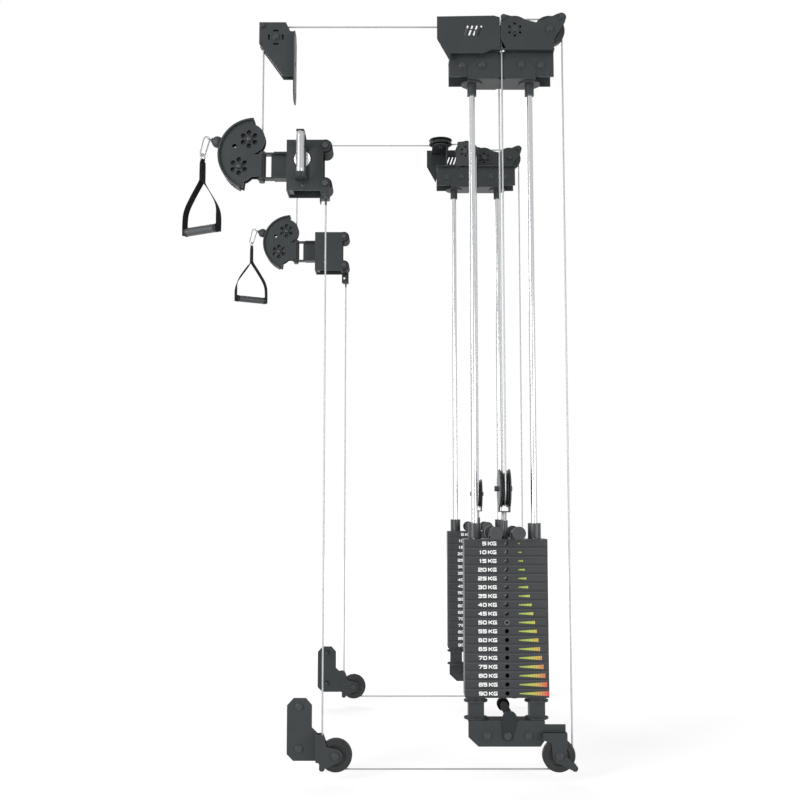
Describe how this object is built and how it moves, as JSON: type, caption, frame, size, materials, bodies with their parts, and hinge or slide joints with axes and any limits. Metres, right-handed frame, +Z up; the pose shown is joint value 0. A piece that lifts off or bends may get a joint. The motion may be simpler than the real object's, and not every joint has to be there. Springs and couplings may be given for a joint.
{
  "type": "cable pulley attachment",
  "caption": "Mirrored pair of rack-mounted cable columns: height-adjustable swivel pulleys with strap handles, header and foot pulleys, and pin-selected plate stacks on rods.",
  "frame": {"origin": "the rack frame's datum: centre of the rack's depth and width, at the level of the lowest pulley rims", "axes": "+X from the handles towards the stacks, +Y across the pair to the left column, +Z up"},
  "size_m": [1.1901, 1.406, 2.2775],
  "materials": {
    "black_steel": "fine-textured black powder coat",
    "zinc_steel": "bright zinc plated",
    "black_bolts": "black oxide",
    "roller_plastic": "moulded",
    "pulley_plastic": "turned nylon, satin",
    "satin_grip": "satin, on black arms",
    "ball_rubber": "smooth",
    "webbing": "woven nylon",
    "grip_plastic": "polished black",
    "cast_plates": "black enamel",
    "chrome_rod": "ground and plated",
    "steel_rope": "clear-coated stranded wire"
  },
  "bodies": {
    "rack_fixed": {"top_brackets": "black_steel", "header_housings": "black_steel", "header_frames": "black_steel", "guide_rods": "chrome_rod", "resting_plates": "cast_plates", "foot_frames": "black_steel", "band_pegs": "black_steel", "fixed_bolts": "black_bolts", "ropes_fixed": "steel_rope", "ropes_stretching": "steel_rope"},
    "right_carriage_body": {"right_carriage": "black_steel", "right_carriage_fittings": "black_bolts"},
    "right_roller_upper_body": {"right_roller_upper": "roller_plastic"},
    "right_roller_lower_body": {"right_roller_lower": "roller_plastic"},
    "right_release_handle_body": {"right_release_handle": "satin_grip"},
    "right_swivel_pulley_upper_body": {"right_swivel_pulley_upper": "pulley_plastic"},
    "right_swivel_pulley_lower_body": {"right_swivel_pulley_lower": "pulley_plastic"},
    "right_ball_stop_body": {"right_ball_stop": "ball_rubber"},
    "right_carabiner_body": {"right_carabiner": "zinc_steel"},
    "right_strap_body": {"right_strap": "webbing"},
    "right_grip_body": {"right_grip": "grip_plastic"},
    "right_top_pulley_body": {"right_top_pulley": "pulley_plastic"},
    "right_header_pulley_flat_body": {"right_header_pulley_flat": "pulley_plastic"},
    "right_header_pulley_yawed_body": {"right_header_pulley_yawed": "pulley_plastic"},
    "right_header_pulley_mid_body": {"right_header_pulley_mid": "pulley_plastic"},
    "right_header_pulley_rear_body": {"right_header_pulley_rear": "pulley_plastic"},
    "right_foot_pulley_rear_body": {"right_foot_pulley_rear": "pulley_plastic"},
    "right_foot_pulley_front_body": {"right_foot_pulley_front": "pulley_plastic"},
    "right_float_sheave_body": {"right_float_sheave": "pulley_plastic"},
    "right_selector_pin_body": {"right_selector_pin": "zinc_steel"},
    "right_swivel_body": {"right_swivel_head": "black_steel", "right_rope_on_swivel": "steel_rope"},
    "right_lift_body": {"right_stack_lifted": "cast_plates", "right_lift_head": "black_steel", "right_rope_on_float": "steel_rope"},
    "left_carriage_body": {"left_carriage": "black_steel", "left_carriage_fittings": "black_bolts"},
    "left_roller_upper_body": {"left_roller_upper": "roller_plastic"},
    "left_roller_lower_body": {"left_roller_lower": "roller_plastic"},
    "left_release_handle_body": {"left_release_handle": "satin_grip"},
    "left_swivel_pulley_upper_body": {"left_swivel_pulley_upper": "pulley_plastic"},
    "left_swivel_pulley_lower_body": {"left_swivel_pulley_lower": "pulley_plastic"},
    "left_ball_stop_body": {"left_ball_stop": "ball_rubber"},
    "left_carabiner_body": {"left_carabiner": "zinc_steel"},
    "left_strap_body": {"left_strap": "webbing"},
    "left_grip_body": {"left_grip": "grip_plastic"},
    "left_top_pulley_body": {"left_top_pulley": "pulley_plastic"},
    "left_header_pulley_flat_body": {"left_header_pulley_flat": "pulley_plastic"},
    "left_header_pulley_yawed_body": {"left_header_pulley_yawed": "pulley_plastic"},
    "left_header_pulley_mid_body": {"left_header_pulley_mid": "pulley_plastic"},
    "left_header_pulley_rear_body": {"left_header_pulley_rear": "pulley_plastic"},
    "left_foot_pulley_rear_body": {"left_foot_pulley_rear": "pulley_plastic"},
    "left_foot_pulley_front_body": {"left_foot_pulley_front": "pulley_plastic"},
    "left_float_sheave_body": {"left_float_sheave": "pulley_plastic"},
    "left_selector_pin_body": {"left_selector_pin": "zinc_steel"},
    "left_swivel_body": {"left_swivel_head": "black_steel", "left_rope_on_swivel": "steel_rope"},
    "left_lift_body": {"left_stack_lifted": "cast_plates", "left_lift_head": "black_steel", "left_rope_on_float": "steel_rope"}
  },
  "joints": [
    {"name": "right_carriage_slide", "type": "slide", "parent": "rack_fixed", "child": "right_carriage_body", "axis": [0, 0, 1], "range_m": [-1.4, 0.1]},
    {"name": "right_stack_lift", "type": "slide", "parent": "rack_fixed", "child": "right_lift_body", "axis": [0, 0, 1], "range_m": [0, 1.1], "deforming": ["ropes_stretching"]},
    {"name": "right_roller_upper_spin", "type": "hinge", "parent": "right_carriage_body", "child": "right_roller_upper_body", "pos_m": [-0.2295, -0.572, 1.865], "axis": [0, 1, 0], "range_deg": [-270, 3740]},
    {"name": "right_roller_lower_spin", "type": "hinge", "parent": "right_carriage_body", "child": "right_roller_lower_body", "pos_m": [-0.2295, -0.572, 1.746], "axis": [0, 1, 0], "range_deg": [-270, 3740]},
    {"name": "right_pin_pull", "type": "slide", "parent": "right_carriage_body", "child": "right_release_handle_body", "axis": [0, -1, 0], "range_m": [0, 0.022], "stiffness_N_per_m": 900, "springref_m": -0.012},
    {"name": "right_head_swivel", "type": "hinge", "parent": "right_carriage_body", "child": "right_swivel_body", "pos_m": [-0.427, -0.572, 1.812], "axis": [0, 0, 1], "range_deg": [-90, 90]},
    {"name": "right_swivel_pulley_upper_spin", "type": "hinge", "parent": "right_swivel_body", "child": "right_swivel_pulley_upper_body", "pos_m": [-0.4665, -0.572, 1.895], "axis": [0, 1, 0], "range_deg": [-3300, 60]},
    {"name": "right_swivel_pulley_lower_spin", "type": "hinge", "parent": "right_swivel_body", "child": "right_swivel_pulley_lower_body", "pos_m": [-0.497, -0.572, 1.809], "axis": [0, 1, 0], "continuous": true},
    {"name": "right_handle_pull", "type": "slide", "parent": "right_swivel_body", "child": "right_ball_stop_body", "axis": [-0.9357, 0, 0.3528], "range_m": [0, 2.2], "deforming": ["right_rope_on_swivel"]},
    {"name": "right_link_swing", "type": "hinge", "parent": "right_ball_stop_body", "child": "right_carabiner_body", "pos_m": [-0.59768, -0.572, 1.90224], "axis": [0, 1, 0], "range_deg": [-10, 70]},
    {"name": "right_strap_swing", "type": "hinge", "parent": "right_carabiner_body", "child": "right_strap_body", "pos_m": [-0.61188, -0.572, 1.85615], "axis": [0, 1, 0], "range_deg": [-10, 60]},
    {"name": "right_grip_turn", "type": "hinge", "parent": "right_strap_body", "child": "right_grip_body", "pos_m": [-0.61188, -0.572, 1.612], "axis": [0.866, -0.5, 0], "continuous": true},
    {"name": "right_top_pulley_spin", "type": "hinge", "parent": "rack_fixed", "child": "right_top_pulley_body", "pos_m": [-0.3875, -0.572, 2.222], "axis": [0, 1, 0], "range_deg": [-3300, 60]},
    {"name": "right_flat_pulley_spin", "type": "hinge", "parent": "rack_fixed", "child": "right_header_pulley_flat_body", "pos_m": [0.167, -0.5325, 2.2615], "axis": [0, 0, 1], "range_deg": [-3300, 60]},
    {"name": "right_yawed_pulley_spin", "type": "hinge", "parent": "rack_fixed", "child": "right_header_pulley_yawed_body", "pos_m": [0.27532, -0.53985, 2.222], "axis": [-0.3, 0.954, 0], "range_deg": [-3300, 60]},
    {"name": "right_float_sheave_spin", "type": "hinge", "parent": "right_lift_body", "child": "right_float_sheave_body", "pos_m": [0.313, -0.578, 0.817], "axis": [1, 0, 0], "range_deg": [-60, 1300]},
    {"name": "right_selector_pull", "type": "slide", "parent": "right_lift_body", "child": "right_selector_pin_body", "axis": [0, -1, 0], "range_m": [0, 0.07]},
    {"name": "right_header_pulley_mid_spin", "type": "hinge", "parent": "rack_fixed", "child": "right_header_pulley_mid_body", "pos_m": [0.3525, -0.628, 2.222], "axis": [0, 1, 0], "range_deg": [-2100, 200]},
    {"name": "right_header_pulley_rear_spin", "type": "hinge", "parent": "rack_fixed", "child": "right_header_pulley_rear_body", "pos_m": [0.4595, -0.628, 2.222], "axis": [0, 1, 0], "range_deg": [-2100, 200]},
    {"name": "right_foot_pulley_rear_spin", "type": "hinge", "parent": "rack_fixed", "child": "right_foot_pulley_rear_body", "pos_m": [0.4595, -0.628, 0.0475], "axis": [0, 1, 0], "range_deg": [-2100, 200]},
    {"name": "right_foot_pulley_front_spin", "type": "hinge", "parent": "rack_fixed", "child": "right_foot_pulley_front_body", "pos_m": [-0.186, -0.628, 0.0475], "axis": [0, 1, 0], "range_deg": [-2100, 200]},
    {"name": "left_carriage_slide", "type": "slide", "parent": "rack_fixed", "child": "left_carriage_body", "axis": [0, 0, 1], "range_m": [-1.4, 0.1]},
    {"name": "left_stack_lift", "type": "slide", "parent": "rack_fixed", "child": "left_lift_body", "axis": [0, 0, 1], "range_m": [0, 1.1]},
    {"name": "left_roller_upper_spin", "type": "hinge", "parent": "left_carriage_body", "child": "left_roller_upper_body", "pos_m": [-0.2295, 0.572, 1.865], "axis": [0, 1, 0], "range_deg": [-270, 3740]},
    {"name": "left_roller_lower_spin", "type": "hinge", "parent": "left_carriage_body", "child": "left_roller_lower_body", "pos_m": [-0.2295, 0.572, 1.746], "axis": [0, 1, 0], "range_deg": [-270, 3740]},
    {"name": "left_pin_pull", "type": "slide", "parent": "left_carriage_body", "child": "left_release_handle_body", "axis": [0, 1, 0], "range_m": [0, 0.022], "stiffness_N_per_m": 900, "springref_m": -0.012},
    {"name": "left_head_swivel", "type": "hinge", "parent": "left_carriage_body", "child": "left_swivel_body", "pos_m": [-0.427, 0.572, 1.812], "axis": [0, 0, 1], "range_deg": [-90, 90]},
    {"name": "left_swivel_pulley_upper_spin", "type": "hinge", "parent": "left_swivel_body", "child": "left_swivel_pulley_upper_body", "pos_m": [-0.4665, 0.572, 1.895], "axis": [0, 1, 0], "range_deg": [-3300, 60]},
    {"name": "left_swivel_pulley_lower_spin", "type": "hinge", "parent": "left_swivel_body", "child": "left_swivel_pulley_lower_body", "pos_m": [-0.497, 0.572, 1.809], "axis": [0, 1, 0], "continuous": true},
    {"name": "left_handle_pull", "type": "slide", "parent": "left_swivel_body", "child": "left_ball_stop_body", "axis": [-0.9357, 0, 0.3528], "range_m": [0, 2.2], "deforming": ["left_rope_on_swivel"]},
    {"name": "left_link_swing", "type": "hinge", "parent": "left_ball_stop_body", "child": "left_carabiner_body", "pos_m": [-0.59768, 0.572, 1.90224], "axis": [0, 1, 0], "range_deg": [-10, 70]},
    {"name": "left_strap_swing", "type": "hinge", "parent": "left_carabiner_body", "child": "left_strap_body", "pos_m": [-0.61188, 0.572, 1.85615], "axis": [0, 1, 0], "range_deg": [-10, 60]},
    {"name": "left_grip_turn", "type": "hinge", "parent": "left_strap_body", "child": "left_grip_body", "pos_m": [-0.61188, 0.572, 1.612], "axis": [0.866, 0.5, 0], "continuous": true},
    {"name": "left_top_pulley_spin", "type": "hinge", "parent": "rack_fixed", "child": "left_top_pulley_body", "pos_m": [-0.3875, 0.572, 2.222], "axis": [0, 1, 0], "range_deg": [-3300, 60]},
    {"name": "left_flat_pulley_spin", "type": "hinge", "parent": "rack_fixed", "child": "left_header_pulley_flat_body", "pos_m": [0.167, 0.5325, 2.2615], "axis": [0, 0, 1], "range_deg": [-60, 3300]},
    {"name": "left_yawed_pulley_spin", "type": "hinge", "parent": "rack_fixed", "child": "left_header_pulley_yawed_body", "pos_m": [0.27532, 0.53985, 2.222], "axis": [0.3, 0.954, 0], "range_deg": [-3300, 60]},
    {"name": "left_float_sheave_spin", "type": "hinge", "parent": "left_lift_body", "child": "left_float_sheave_body", "pos_m": [0.313, 0.578, 0.817], "axis": [1, 0, 0], "range_deg": [-1300, 60]},
    {"name": "left_selector_pull", "type": "slide", "parent": "left_lift_body", "child": "left_selector_pin_body", "axis": [0, -1, 0], "range_m": [0, 0.07]},
    {"name": "left_header_pulley_mid_spin", "type": "hinge", "parent": "rack_fixed", "child": "left_header_pulley_mid_body", "pos_m": [0.3525, 0.628, 2.222], "axis": [0, 1, 0], "range_deg": [-2100, 200]},
    {"name": "left_header_pulley_rear_spin", "type": "hinge", "parent": "rack_fixed", "child": "left_header_pulley_rear_body", "pos_m": [0.4595, 0.628, 2.222], "axis": [0, 1, 0], "range_deg": [-2100, 200]},
    {"name": "left_foot_pulley_rear_spin", "type": "hinge", "parent": "rack_fixed", "child": "left_foot_pulley_rear_body", "pos_m": [0.4595, 0.628, 0.0475], "axis": [0, 1, 0], "range_deg": [-2100, 200]},
    {"name": "left_foot_pulley_front_spin", "type": "hinge", "parent": "rack_fixed", "child": "left_foot_pulley_front_body", "pos_m": [-0.186, 0.628, 0.0475], "axis": [0, 1, 0], "range_deg": [-2100, 200]}
  ],
  "couplings": [
    {"joint": "right_roller_upper_spin", "follows": "right_carriage_slide", "rad_per_m": -46.512},
    {"joint": "right_roller_lower_spin", "follows": "right_carriage_slide", "rad_per_m": -46.512},
    {"joint": "right_header_pulley_mid_spin", "follows": "right_carriage_slide", "rad_per_m": 25.316},
    {"joint": "right_header_pulley_rear_spin", "follows": "right_carriage_slide", "rad_per_m": 25.316},
    {"joint": "right_foot_pulley_rear_spin", "follows": "right_carriage_slide", "rad_per_m": 25.316},
    {"joint": "right_foot_pulley_front_spin", "follows": "right_carriage_slide", "rad_per_m": 25.316},
    {"joint": "right_handle_pull", "follows": "right_stack_lift", "ratio": 2},
    {"joint": "right_swivel_pulley_upper_spin", "follows": "right_stack_lift", "rad_per_m": -50.633},
    {"joint": "right_top_pulley_spin", "follows": "right_stack_lift", "rad_per_m": -50.633},
    {"joint": "right_flat_pulley_spin", "follows": "right_stack_lift", "rad_per_m": -50.633},
    {"joint": "right_yawed_pulley_spin", "follows": "right_stack_lift", "rad_per_m": -50.633},
    {"joint": "right_float_sheave_spin", "follows": "right_stack_lift", "rad_per_m": 20},
    {"joint": "left_roller_upper_spin", "follows": "left_carriage_slide", "rad_per_m": -46.512},
    {"joint": "left_roller_lower_spin", "follows": "left_carriage_slide", "rad_per_m": -46.512},
    {"joint": "left_header_pulley_mid_spin", "follows": "left_carriage_slide", "rad_per_m": 25.316},
    {"joint": "left_header_pulley_rear_spin", "follows": "left_carriage_slide", "rad_per_m": 25.316},
    {"joint": "left_foot_pulley_rear_spin", "follows": "left_carriage_slide", "rad_per_m": 25.316},
    {"joint": "left_foot_pulley_front_spin", "follows": "left_carriage_slide", "rad_per_m": 25.316},
    {"joint": "left_handle_pull", "follows": "left_stack_lift", "ratio": 2},
    {"joint": "left_swivel_pulley_upper_spin", "follows": "left_stack_lift", "rad_per_m": -50.633},
    {"joint": "left_top_pulley_spin", "follows": "left_stack_lift", "rad_per_m": -50.633},
    {"joint": "left_flat_pulley_spin", "follows": "left_stack_lift", "rad_per_m": 50.633},
    {"joint": "left_yawed_pulley_spin", "follows": "left_stack_lift", "rad_per_m": -50.633},
    {"joint": "left_float_sheave_spin", "follows": "left_stack_lift", "rad_per_m": -20}
  ]
}
